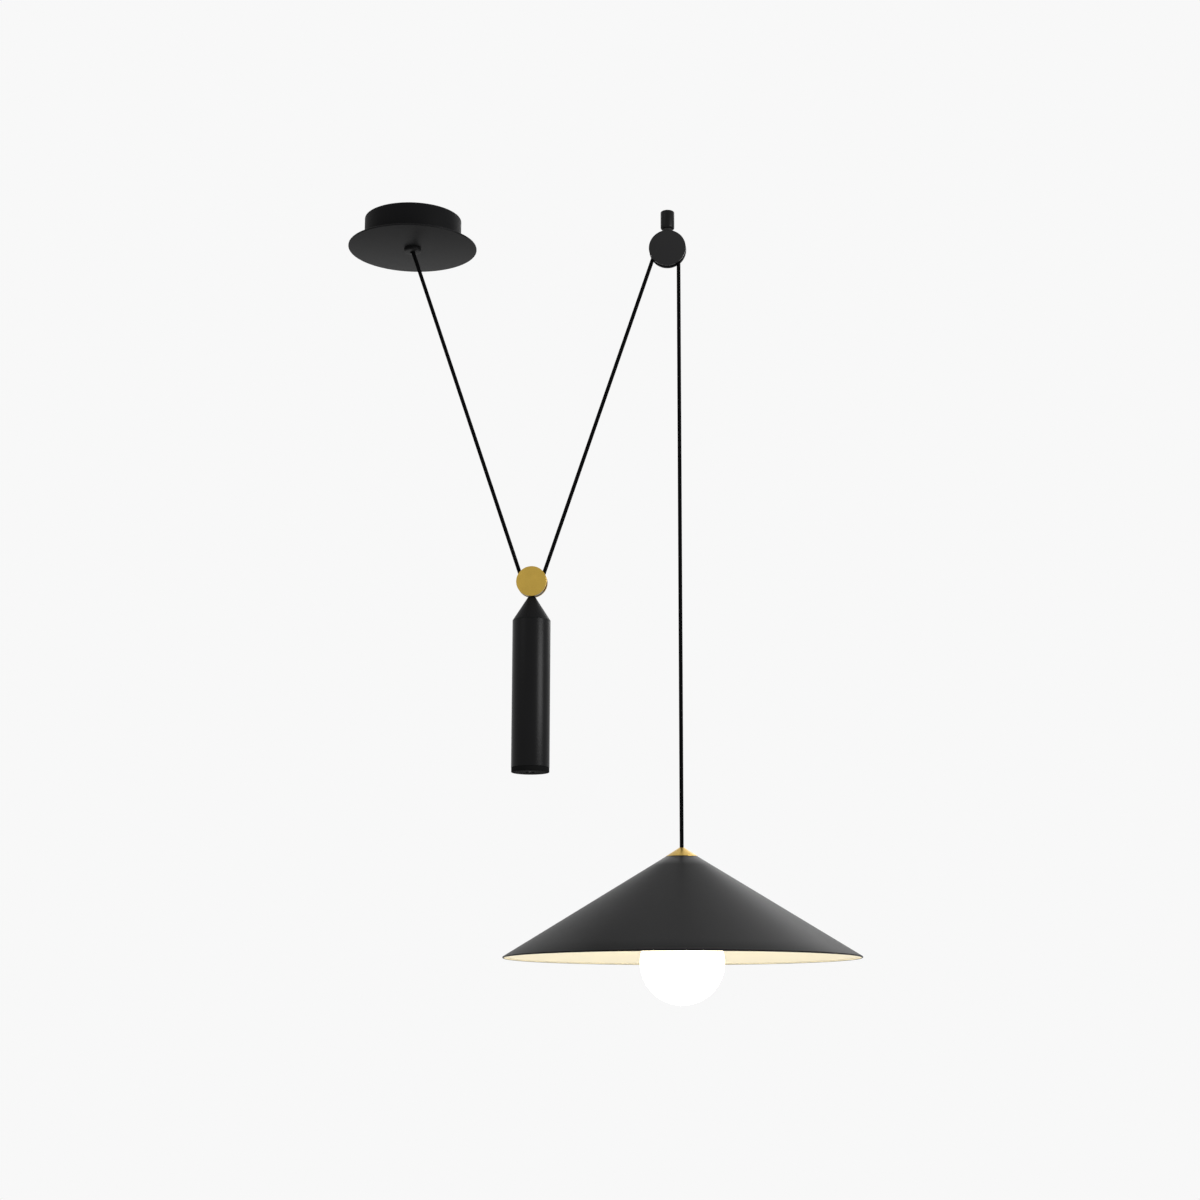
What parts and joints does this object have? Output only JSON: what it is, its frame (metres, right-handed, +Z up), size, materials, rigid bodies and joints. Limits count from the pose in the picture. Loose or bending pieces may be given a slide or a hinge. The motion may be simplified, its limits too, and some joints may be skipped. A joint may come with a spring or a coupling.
{
  "type": "rise and fall pendant",
  "caption": "Pendant lamp with a wide conical shade and a globe bulb. Its cord runs over a ceiling pulley and under a pulley on a long counterweight, so the lamp rises and falls.",
  "frame": {"origin": "on the ceiling plane, at the middle of the canopy and its bracket", "axes": "+Z up into the ceiling, +X from the canopy to the ceiling pulley, front towards -Y"},
  "size_m": [0.598, 0.4, 0.933],
  "materials": {
    "black_coat": "satin",
    "black_plastic": "matte",
    "steel": "satin",
    "brass": "satin",
    "plain_brass": "satin",
    "white_plastic": "matte",
    "opal_glass": "gloss",
    "black_cord": "matte"
  },
  "bodies": {
    "ceiling_parts": {"canopy_drum": "black_coat", "canopy_plate": "black_coat", "outlet_bush": "black_plastic", "ceiling_bracket": "steel", "bracket_side_screws": "steel", "outlet_nut": "steel", "cord_grip": "plain_brass", "cord_grip_screws": "steel", "terminal_block": "white_plastic", "terminal_inserts": "plain_brass", "terminal_screws": "steel", "earth_screw": "plain_brass", "canopy_leads": "white_plastic", "ceiling_stem": "black_coat", "ceiling_hanger": "black_coat", "ceiling_grub_screw": "steel", "ceiling_front_cheek": "black_coat", "ceiling_rear_cheek": "black_coat", "ceiling_axle": "steel", "ceiling_block_screws": "steel", "cord_tail": "black_cord", "cord_left_leg": "black_cord", "cord_right_leg": "black_cord", "cord_ceiling_wrap": "black_cord"},
    "ceiling_wheel_set": {"ceiling_wheel": "black_plastic", "ceiling_bush": "plain_brass"},
    "counterweight_carrier": {"cord_counterweight_wrap": "black_cord"},
    "counterweight_wheel_set": {"counterweight_wheel": "black_plastic", "counterweight_bush": "plain_brass"},
    "counterweight": {"counterweight_front_cheek": "brass", "counterweight_rear_cheek": "brass", "counterweight_axle": "steel", "counterweight_block": "steel", "counterweight_block_screws": "steel", "nose_cone": "black_coat", "weight_tube": "black_coat", "bottom_cap": "black_coat", "ballast_slugs": "steel", "tie_rod": "steel", "tie_nut": "steel"},
    "lamp_line": {"cord_drop": "black_cord"},
    "lamp": {"shade_cap": "brass", "shade": "black_coat", "shade_nipple": "steel", "shade_washer": "steel", "shade_nut": "steel", "lampholder_cap": "black_plastic", "lampholder_skirt": "black_plastic", "lampholder_core": "white_plastic", "lampholder_shell": "plain_brass", "lampholder_contact": "plain_brass", "lamp_cord_ferrule": "plain_brass", "lamp_leads": "white_plastic", "cord_lamp_end": "black_cord"},
    "bulb": {"bulb_globe": "opal_glass", "bulb_cap": "steel", "bulb_insulator": "black_plastic", "bulb_contact": "plain_brass", "bulb_led_module": "white_plastic"}
  },
  "joints": [
    {"name": "lamp_swing", "type": "hinge", "parent": "ceiling_parts", "child": "lamp_line", "pos_m": [0.321, 0, -0.047], "axis": [0, 1, 0], "range_deg": [-3, 3]},
    {"name": "lamp_height", "type": "slide", "parent": "lamp_line", "child": "lamp", "axis": [0, 0, 1], "range_m": [-0.4, 0.07], "deforming": ["cord_drop"]},
    {"name": "counterweight_travel", "type": "slide", "parent": "ceiling_parts", "child": "counterweight_carrier", "axis": [0, 0, 1], "range_m": [-0.039, 0.2225], "deforming": ["cord_left_leg", "cord_right_leg"]},
    {"name": "counterweight_swing", "type": "hinge", "parent": "counterweight_carrier", "child": "counterweight", "pos_m": [0.14864, 0, -0.45], "axis": [0, 1, 0], "range_deg": [-10, 10]},
    {"name": "counterweight_wheel_spin", "type": "hinge", "parent": "counterweight_carrier", "child": "counterweight_wheel_set", "pos_m": [0.14864, 0, -0.45], "axis": [0, 1, 0], "continuous": true},
    {"name": "ceiling_wheel_spin", "type": "hinge", "parent": "ceiling_parts", "child": "ceiling_wheel_set", "pos_m": [0.308, 0, -0.047], "axis": [0, 1, 0], "continuous": true},
    {"name": "bulb_removal", "type": "slide", "parent": "lamp", "child": "bulb", "axis": [0, 0, -1], "range_m": [0, 0.06]}
  ],
  "couplings": [
    {"joint": "counterweight_travel", "follows": "lamp_height", "ratio": -0.555},
    {"joint": "counterweight_wheel_spin", "follows": "lamp_height", "rad_per_m": 49.2},
    {"joint": "ceiling_wheel_spin", "follows": "lamp_height", "rad_per_m": -76.923}
  ]
}
